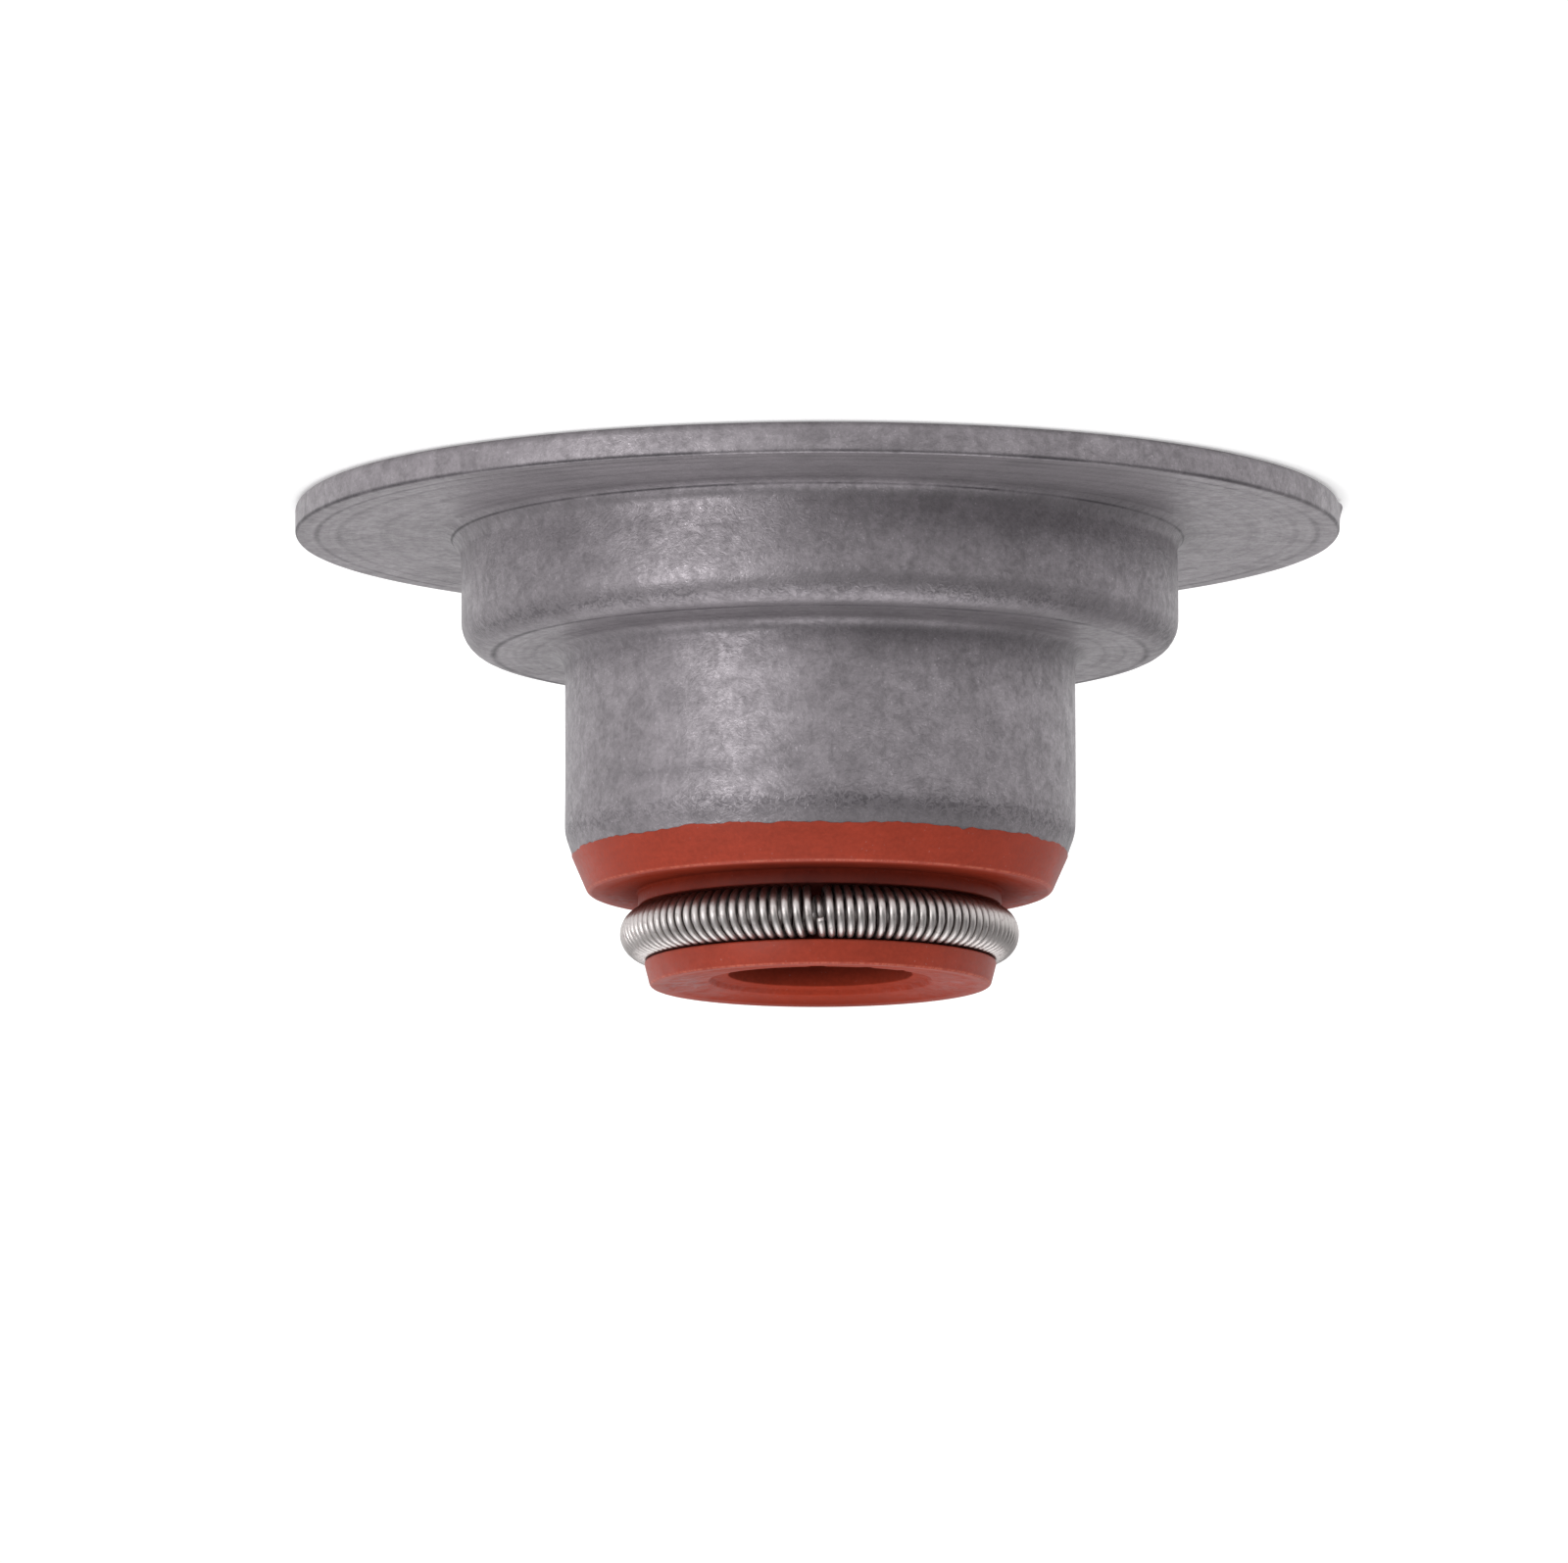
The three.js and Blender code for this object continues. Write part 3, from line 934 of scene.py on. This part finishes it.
@dataclass
class RubberSeal:
    """The moulded rubber seal: lining, collar, neck, groove and lip.

    Attributes:
        fold: The line of the sheet that it is moulded to.
        sink: How deep it bites into the steel, so that no light shows between them.
        film: Thickness of the thin edge that the mould left on the steel.
        ragged: Spread of that edge along the steel.
        cover: Rubber over the turned-in end.
        collar_angle: Slope of the collar.
        collar_round: Rounding of the collar's edge.
        spring_plane: Height of the garter spring's plane.
        lip_height: Garter spring's plane to the lip's end face.
        neck_radius: Outside of the neck.
        ring_radius: Middle of the garter spring's winding.
        groove_radius: Radius of the groove's round floor.
        lip_radius: Outside of the lip beside the groove.
        lip_taper: Narrowing of the lip to its end face.
        sealing_radius: Inside of the lip's sealing edge.
        hollow: How much lower the lip's end face lies inside than at its edge.
        dish_width: Width of the shallow dish round the bore's mouth.
        dish_depth: Depth of that dish.
        lining_radius: Inside of the lining, which the valve guide fills.
        lining_bottom: Where the lining starts, above the seat plane.
        guide_stop: Where the valve guide stops, above the seat plane.
        rib_height: How far the lining's ribs stand in.
        ribs: How many ribs the lining has.
    """

    fold: FoldedSheet = field(default_factory=FoldedSheet)
    sink: float = 0.015
    film: float = 0.022
    ragged: float = 0.021
    cover: float = 0.39
    collar_angle: float = radians(23.5)
    collar_round: float = 0.2
    spring_plane: float = 12.455
    lip_height: float = 1.50
    neck_radius: float = 5.2095
    ring_radius: float = 4.9595
    groove_radius: float = 0.7915
    lip_radius: float = 5.0595
    lip_taper: float = 0.18
    sealing_radius: float = 2.6
    hollow: float = 0.15
    dish_width: float = 0.575
    dish_depth: float = 0.17
    lining_radius: float = 5.5
    lining_bottom: float = 5.1
    guide_stop: float = 9.615
    rib_height: float = 0.2
    ribs: int = 3

    def contact(self) -> list[Corner]:
        """Lay out the rubber's side that is bonded to the steel.

        Returns:
            The corners up inside the tube, round its end and back outside.
        """
        fold, sink = self.fold, self.sink
        inside = fold.face(fold.sheet - sink)[-3:]
        outside = fold.face(sink)[-3:]
        end = [Corner(c.radius + sink, c.height, 0.05) for c in (inside[-1], outside[-1])]
        foot = Corner(fold.tube_radius - fold.sheet + sink, self.lining_bottom)
        return [foot, *inside[:2], *end, outside[1]]

    def skin(self) -> list[Corner]:
        """Lay out the rubber's outside.

        Returns:
            The corners that show, from the collar's thin edge to the bore's mouth.
        """
        start = self.fold.rubber_start()
        out = np.array([cos(self.fold.lean), sin(self.fold.lean)])
        foot, edge = start - self.sink * out, start + self.film * out
        face = self.collar_face
        floor = self.ring_radius - self.groove_radius
        low, high = self.spring_plane - self.groove_radius, self.spring_plane + self.groove_radius
        end, mouth = self.spring_plane + self.lip_height, self.sealing_radius + 0.035
        dish = end - self.hollow
        return [
            Corner(*foot),
            Corner(*edge, 0.012),
            Corner(self.collar_edge, face, self.collar_round),
            Corner(self.neck_radius, face, 0.07),
            Corner(self.neck_radius, low, 0.05),
            Corner(floor, low, self.groove_radius - 0.001),
            Corner(floor, high, self.groove_radius - 0.001),
            Corner(self.lip_radius, high, 0.06),
            Corner(self.lip_radius - self.lip_taper, end, 0.12),
            Corner(mouth + self.dish_width, dish, 0.05),
            Corner(mouth + self.dish_width - 0.12, dish - self.dish_depth * 0.8, 0.08),
            Corner(mouth, dish - self.dish_depth, 0.04),
        ]

    def bore(self) -> list[Corner]:
        """Lay out the rubber's inside.

        Returns:
            The corners from the sealing edge down the ribbed lining.
        """
        top, bottom = self.guide_stop, self.lining_bottom + 0.4
        pitch = (top - bottom) / self.ribs
        ribs: list[Corner] = []
        for i in range(self.ribs):
            ribs += [
                Corner(self.lining_radius, top - pitch * i, 0.05 if i == 0 else 0.3),
                Corner(self.lining_radius - self.rib_height, top - pitch * (i + 0.5), 0.35),
            ]
        return [
            Corner(self.sealing_radius, self.spring_plane + 0.25, 0.05),
            Corner(self.sealing_radius + 1.4, self.collar_face - 0.25, 0.25),
            Corner(self.lining_radius - 1.2, top, 0.08),
            *ribs,
            Corner(self.lining_radius, bottom, 0.1),
            Corner(self.lining_radius + 0.4, self.lining_bottom, 0.06),
        ]

    @property
    def collar_face(self) -> float:
        """Height of the collar's face above the seat plane."""
        return float(self.fold.line()[5][1]) + self.cover

    @property
    def collar_edge(self) -> float:
        """Radius of the collar's edge, before it is rounded."""
        start = self.fold.rubber_start()
        return float(start[0] - (self.collar_face - start[1]) * tan(self.collar_angle)) + self.film

    def build(self) -> bpy.types.Object:
        """Make the piece with its ragged edge, nicks and finish.

        Returns:
            The finished object.
        """
        corners = [*self.contact(), *self.skin(), *self.bore()]
        surface = TurnedSurface(rounded_outline(corners, 0.42, 5))
        self.rag_edge(surface)
        self.nick_mouth(surface)
        piece = surface.build("moulded_seal")
        # Painted sheen at both sides and painted shade in the hollows, as attributes.
        set_attribute(piece, "painted_sheen", np.clip(self.painted_sheen(surface), 0, 1).ravel())
        set_attribute(piece, "painted_shade", np.clip(self.painted_shade(surface), 0, 1).ravel())
        set_attribute(piece, "matt", self.matt(surface).ravel())
        end = self.spring_plane + self.lip_height
        edges = (
            surface.at(self.collar_edge, self.collar_face - 0.06),
            surface.at(self.lip_radius - self.lip_taper, end - 0.02),
        )
        piece.data.materials.append(MouldedRubber(edges=edges).material())
        return piece

    def rag_edge(self, surface: TurnedSurface) -> None:
        """Move the thin edge on the steel to and fro along the tube.

        A point moves by the ragged spread times a wave round the axis, along the sheet, weighed by
        exp(-(d / 0.16)^2) for its distance d in mm from the edge. At one place a flake is missing.

        Args:
            surface: The rubber's surface, which is changed.
        """
        start = self.fold.rubber_start()
        distance = np.hypot(surface.outline[:, 0] - start[0], surface.outline[:, 1] - start[1])
        weight = np.exp(-((distance / 0.16) ** 2))[:, None]
        wave = round_noise(31, 4, 34, 0.6) + 0.5 * round_noise(32, 34, 160, 0.5)
        flake = 3.2 * surface.patch(-35.0, 0.0, 0.16, ALL_ALONG)
        move = self.ragged * (wave - flake) * weight
        surface.radius += sin(self.fold.lean) * move
        surface.height -= cos(self.fold.lean) * move

    def nick_mouth(self, surface: TurnedSurface) -> None:
        """Take three small nicks out of the dish's edge at the front, each a bell 0.06 mm deep.

        Args:
            surface: The rubber's surface, which is changed.
        """
        end = self.spring_plane + self.lip_height - self.hollow
        edge = surface.at(self.sealing_radius + self.dish_width + 0.04, end)
        for facing, width in ((1.5, 0.16), (-24.0, 0.13), (-46.0, 0.1)):
            surface.height -= 0.06 * surface.patch(facing, edge, width, 0.12)

    def painted_sheen(self, surface: TurnedSurface) -> np.ndarray:
        """Work out where a painted grey sheen lies: on the collar's face and slope at both sides, and on the
        lip's end.

        Args:
            surface: The rubber's surface.

        Returns:
            Weights by outline point and place round the axis.
        """
        face = surface.at(self.collar_edge - 0.45, self.collar_face)
        slope = surface.at(self.collar_edge + 0.3, self.collar_face - 0.7)
        # Painted sheen, a grey reflection on the left and right sides.
        film = 0.9 * surface.patch(108.0, face, 2.3, 0.7) + 0.9 * surface.patch(-108.0, face, 2.5, 0.7)
        film += 0.35 * surface.patch(88.0, slope, 1.8, 0.9) + 0.6 * surface.patch(-88.0, slope, 1.2, 0.9)
        end = surface.at(self.lip_radius - 0.9, self.spring_plane + self.lip_height)
        return film + 0.9 * surface.patch(88.0, end, 2.8, 1.0) + 0.6 * surface.patch(-88.0, end, 3.0, 1.0)

    def matt(self, surface: TurnedSurface) -> np.ndarray:
        """Work out where the rubber has no gloss: on the collar's face, and from the lip's end inwards.

        Args:
            surface: The rubber's surface.

        Returns:
            Weights by outline point and place round the axis.
        """
        run, end = surface.run[:, None], self.spring_plane + self.lip_height
        face = surface.at(self.collar_edge - 0.1, self.collar_face)
        neck = surface.at(self.neck_radius, self.collar_face + 0.2)
        lip = surface.at(self.lip_radius - self.lip_taper - 0.1, end)
        collar = ramp(run, face - 0.05, face + 0.1) * (1 - ramp(run, neck, neck + 0.3))
        return 0.92 * (collar + ramp(run, lip - 0.1, lip + 0.1)) + 0 * surface.radius

    def painted_shade(self, surface: TurnedSurface) -> np.ndarray:
        """Work out where shade is painted: round the neck, in the groove and bore, and on the lip's far side.

        Args:
            surface: The rubber's surface.

        Returns:
            Weights by outline point and place round the axis.
        """
        run = surface.run[:, None]
        edge = surface.at(self.collar_edge - 0.1, self.collar_face)
        groove_end = surface.at(self.lip_radius, self.spring_plane + self.groove_radius)
        inner = self.spring_plane + self.lip_height - self.hollow
        mouth = surface.at(self.sealing_radius + 0.035, inner - self.dish_depth)
        # Painted shade round the neck and in the groove, stronger at the front and back.
        corner = ramp(run, edge - 0.02, edge + 0.10) * (1 - ramp(run, groove_end - 0.1, groove_end))
        front = surface.patch(0.0, 0.0, 5.2, ALL_ALONG) + surface.patch(180.0, 0.0, 5.2, ALL_ALONG)
        # Painted shade in the bore.
        dish = surface.at(self.sealing_radius + self.dish_width, inner)
        inside = 0.2 * ramp(run, dish, dish + 0.15) + 0.8 * ramp(run, mouth, mouth + 0.15)
        # Painted shadow on the lip's far side.
        end = surface.at(self.lip_radius - 0.5, self.spring_plane + self.lip_height)
        shaded = 0.45 * surface.patch(180.0, end, 3.4, 0.8)
        return np.maximum(corner * (0.30 + 0.60 * front), 0.7 * inside) + shaded


@dataclass
class GarterSpring:
    """The garter spring: one wire wound round a ring, its narrowed tail inside its own start.

    Attributes:
        ring_radius: Middle of the winding.
        plane: Height of the ring above the seat plane.
        wire: Diameter of the wire.
        coil: Outside diameter of the winding.
        turns: Turns in the ring.
        tail: Turns of the narrowed tail inside the other end.
        tail_clearance: Room between the tail and the turns round it.
        cut: Share of a turn by which the cut end stops short of the front.
        squeeze: How much closer the turns over the tail lie.
        turn_points: Points of the wire in one turn.
        sides: Points round the wire.
    """

    ring_radius: float = 4.9595
    plane: float = 12.455
    wire: float = 0.225
    coil: float = 1.523
    turns: int = 112
    tail: int = 2
    tail_clearance: float = 0.06
    cut: float = 0.06
    squeeze: float = 0.07
    turn_points: int = 40
    sides: int = 12

    def progress(self, turn: np.ndarray) -> np.ndarray:
        """Return how far round the ring the wire is after so many turns, from 0 to 1 and beyond.

        Each turn takes the same room, times one plus a small random wave, less over the tail and more
        in the last turns before the joint. The tail goes on at the spacing of the first turns.

        Args:
            turn: Turns from the joint.

        Returns:
            Shares of the ring, one for each.
        """
        fine = np.linspace(0, self.turns, 8000)
        over_tail = -self.squeeze * np.exp(-((fine / 4.0) ** 4))
        before = 0.05 * np.exp(-(((self.turns - fine) / 3.5) ** 4))
        uneven = 0.012 * round_noise(41, 3, 60, 0.2, len(fine))
        room = np.cumsum(1 + over_tail + before + uneven)
        room = (room - room[0]) / (room[-1] - room[0])
        once = np.interp(np.minimum(turn, self.turns), fine, room)
        again = np.interp(np.maximum(turn - self.turns, 0), fine, room)
        return once + again

    def winding(self, turn: np.ndarray) -> np.ndarray:
        """Work out the winding's radius: full, then narrowed smoothly for the tail.

        Args:
            turn: Turns from the joint.

        Returns:
            A radius for each, in mm.
        """
        full = (self.coil - self.wire) / 2
        narrow = full - self.wire - self.tail_clearance
        proud = 0.03 * np.exp(-(((turn - self.cut) / 0.07) ** 2))
        return full + (narrow - full) * ramp(turn, self.turns - 0.95, self.turns - 0.4) + proud

    def build(self) -> bpy.types.Object:
        """Make the wire.

        Its centre is the ring's point at the angle a, plus the winding's radius times (cos t along the
        ring's outward direction + sin t along +Z), where t is a full turn for each winding. Round that
        centre lies a circle, square to the wire's own direction, and a fan closes each end.

        Returns:
            The finished object.
        """
        count = int((self.turns + self.tail - self.cut) * self.turn_points) + 1
        turn = np.linspace(self.cut, self.turns + self.tail, count)
        ring = -pi / 2 - 2 * pi * self.progress(turn)
        coil = 2 * pi * turn
        outward = np.stack([np.cos(ring), np.sin(ring), 0 * ring], axis=1)
        upward = np.array([0.0, 0.0, 1.0])
        spoke = np.cos(coil)[:, None] * outward + np.sin(coil)[:, None] * upward
        centre = self.ring_radius * outward + self.plane * upward + self.winding(turn)[:, None] * spoke
        forward = np.gradient(centre, axis=0)
        forward /= np.linalg.norm(forward, axis=1, keepdims=True)
        side = np.cross(forward, spoke)
        side /= np.linalg.norm(side, axis=1, keepdims=True)
        top = np.cross(side, forward)
        around = np.linspace(0, 2 * pi, self.sides, endpoint=False)
        length = np.concatenate([[0.0], np.cumsum(np.linalg.norm(np.diff(centre, axis=0), axis=1))])
        ends = np.minimum(length, length[-1] - length)
        reach = self.wire / 2 * np.sqrt(np.clip(ends / 0.03, 0, 1) * 0.35 + 0.65)
        circle = np.cos(around)[None, :, None] * top[:, None] + np.sin(around)[None, :, None] * side[:, None]
        points = (centre[:, None] + reach[:, None, None] * circle).reshape(-1, 3)
        points = np.vstack([points, centre[0], centre[-1]])
        piece = mesh_piece("wound_wire", points, self.faces(count))
        wound = np.broadcast_arrays(np.cos(around)[None, :], np.sin(around)[None, :], length[:, None])
        wound = np.stack(wound, axis=-1).reshape(-1, 3)
        set_attribute(piece, "wound", np.vstack([wound, (0, 0, 0), (0, 0, length[-1])]))
        piece.data.materials.append(DrawnWire().material())
        return piece

    def faces(self, count: int) -> np.ndarray:
        """Join the wire's circles into quads, with a fan of triangles at each end.

        Args:
            count: How many circles there are.

        Returns:
            Point indices, one face per row, with -1 in the fourth place of a triangle.
        """
        sides = self.sides
        walls = grid_faces(count, sides)[: (count - 1) * sides]
        around = np.arange(sides)
        on = (around + 1) % sides
        last = (count - 1) * sides
        none = np.full(sides, -1)
        start = np.stack([on, around, np.full(sides, count * sides), none], axis=1)
        end = np.stack([last + around, last + on, np.full(sides, count * sides + 1), none], axis=1)
        return np.vstack([walls, start, end])


# Studio


class Light(Enum):
    """The studio's softboxes: place in m, width and height in m, and strength in W."""

    KEY = ((0.128, -0.152, 0.026), (0.080, 0.048), 0.105)
    TOP = ((0.03, 0.02, 0.45), (0.50, 0.50), 1.35)


@dataclass(frozen=True)
class Studio:
    """A white table in a white room that is dim behind the camera, with two softboxes.

    Attributes:
        table: Reflectance of the table.
        glow: What the table's seen white has beyond the light that falls on it.
        room: Strength at which the room lights matt surfaces, where 1 is white.
        ceiling: Brightness of the room overhead, where 1 is white.
        shaded_wall: Brightness of the wall on the -X side.
        dim: How much of the room's white the dim side lacks.
        dim_side: Direction from the object to the middle of the dim side.
    """

    table: float = 0.8
    glow: float = 0.33
    room: float = 0.60
    ceiling: float = 0.40
    shaded_wall: float = 0.72
    dim: float = 0.93
    dim_side: Colour = (-0.55, -0.80, 0.22)

    def build(self) -> None:
        """Make the room, the table and the lights."""
        self.make_room()
        self.make_table()
        for light in Light:
            self.make_light(light)

    def make_room(self) -> None:
        """Make the room: white at eye level all round, and shaded higher up.

        With the direction (x, y, z), the white falls to the ceiling's as z goes from 0.1 to 0.7, and
        to the shaded wall's as x goes from 0.5 to -0.7. Round the dim side it falls as the cosine of
        the angle from there goes from 0.40 to 0.85, less and less from z = 0.25 to 0.60. All of that
        starts at eye level and is full from z = 0.08. It is how the room is seen. What it gives as
        light on matt surfaces is the same from all round.
        """
        world = bpy.data.worlds.new("white_room")
        world.use_nodes = True
        g = Graph(world.node_tree)
        way = g.node("ShaderNodeTexCoord", {}).outputs["Generated"]
        x, z = g.part(way, 0), g.part(way, 2)
        facing = g.node(
            "ShaderNodeVectorMath", {0: way, 1: Vector(self.dim_side).normalized()}, operation="DOT_PRODUCT"
        ).outputs["Value"]
        low = g.span(z, 0.25, 0.60, 1.0, 0.0)
        dim = g.maths("SUBTRACT", 1.0, g.times(g.span(facing, 0.40, 0.85, 0.0, self.dim), low))
        shaded = g.times(
            g.span(z, 0.10, 0.70, 1.0, self.ceiling), g.span(x, -0.7, 0.5, self.shaded_wall, 1.0), dim
        )
        above = g.span(z, 0.0, 0.08)
        bright = g.plus(g.maths("SUBTRACT", 1.0, above), g.times(shaded, above))
        power = g.node("ShaderNodeMapRange", {"Value": g.seen(), "To Min": self.room, "To Max": bright})
        background = g.tree.nodes["Background"]
        g.plug(background.inputs["Color"], (1, 1, 1, 1))
        g.plug(background.inputs["Strength"], power.outputs[0])
        bpy.context.scene.world = world

    def make_table(self) -> None:
        """Make the white table, which keeps shadows and is as white as the room where it is seen.

        It is a disc of 4 m radius, 0.02 mm below the seat face so that the two don't flicker.
        """
        angle = np.linspace(0, 2 * pi, 64, endpoint=False)
        edge = np.stack([4 * np.cos(angle), 4 * np.sin(angle), np.full(64, -0.00002)], axis=1)
        mesh = bpy.data.meshes.new("table")
        mesh.from_pydata(edge.tolist(), [], [list(range(64))])
        table = bpy.data.objects.new("table", mesh)
        bpy.context.scene.collection.objects.link(table)
        graph = FinishGraph("white_table")
        table.data.materials.append(
            graph.finish(
                Base_Color=(self.table,) * 3,
                Roughness=1.0,
                Specular_IOR_Level=0.0,
                Emission_Color=(1, 1, 1, 1),
                Emission_Strength=graph.times(graph.seen(), self.glow),
            )
        )

    def make_light(self, light: Light) -> None:
        """Make one softbox that faces the middle of the seal, 7 mm up.

        Args:
            light: Which one.
        """
        place, (width, height), strength = light.value
        data = bpy.data.lights.new(f"{light.name.lower()}_softbox", "AREA")
        data.shape = "RECTANGLE"
        data.size, data.size_y = width, height
        data.energy = strength
        lamp = bpy.data.objects.new(data.name, data)
        lamp.location = place
        lamp.rotation_euler = (Vector((0, 0, 0.007)) - lamp.location).to_track_quat("-Z", "Y").to_euler()
        lamp.visible_camera = False
        bpy.context.scene.collection.objects.link(lamp)


@dataclass(frozen=True)
class Viewpoint:
    """The camera, which hangs the picture upside down: the flange is at its top.

    Attributes:
        elevation: Height of the line of sight above the horizon.
        distance: From the flange's lip side, on the axis.
        lens: Focal length in mm.
        pixel: Width on the seal of one of the picture's pixels, in mm.
        centre: How far right and down the picture's middle lies from the flange's, in pixels.
        roll: Tilt of the picture.
    """

    elevation: float = radians(8.934)
    distance: float = 0.4701
    lens: float = 375.3
    pixel: float = 0.028182
    centre: tuple[float, float] = (-38.08, 250.61)
    roll: float = radians(-0.155)

    def build(self) -> None:
        """Make the camera.

        The picture's right is -X and its down is up along the stem, so that the camera's own up is the
        picture's down turned over.
        """
        anchor = Vector((0, 0, 0.0009))
        back = Vector((0, -cos(self.elevation), sin(self.elevation)))
        right, down = Vector((-1, 0, 0)), Vector((0, sin(self.elevation), cos(self.elevation)))
        right, down = (
            cos(self.roll) * right - sin(self.roll) * down,
            sin(self.roll) * right + cos(self.roll) * down,
        )
        target = anchor + self.pixel * MM * (self.centre[0] * right + self.centre[1] * down)
        place = anchor + self.distance * back
        axis_z = (place - target).normalized()
        axis_x = (right - right.dot(axis_z) * axis_z).normalized()
        axis_y = axis_z.cross(axis_x)
        data = bpy.data.cameras.new("viewpoint")
        data.lens = self.lens
        data.sensor_width = 36.0
        data.clip_start = 0.01
        camera = bpy.data.objects.new("viewpoint", data)
        turned = Matrix((axis_x, axis_y, axis_z)).transposed().to_4x4()
        camera.matrix_world = Matrix.Translation(place) @ turned
        bpy.context.scene.collection.objects.link(camera)
        bpy.context.scene.camera = camera


def dress(piece: bpy.types.Object, node: str) -> None:
    """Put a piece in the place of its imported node.

    Args:
        piece: The piece.
        node: The node that it stands for.
    """
    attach(piece, "root")
    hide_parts(node)
    log.info("%s: %d points, %d faces", piece.name, len(piece.data.vertices), len(piece.data.polygons))


def main() -> None:
    """Build the seal's pieces in order, then the studio, and note the sizes."""
    logging.basicConfig(level=logging.INFO, format="%(name)s %(message)s")
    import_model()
    Viewpoint().build()
    dress(SpringSeatShell().build(), "spring_seat_shell")
    dress(RubberSeal().build(), "rubber_seal")
    dress(GarterSpring().build(), "garter_spring")
    Studio().build()
    bpy.context.scene.view_settings.view_transform = "Standard"


if __name__ == "__main__":
    main()
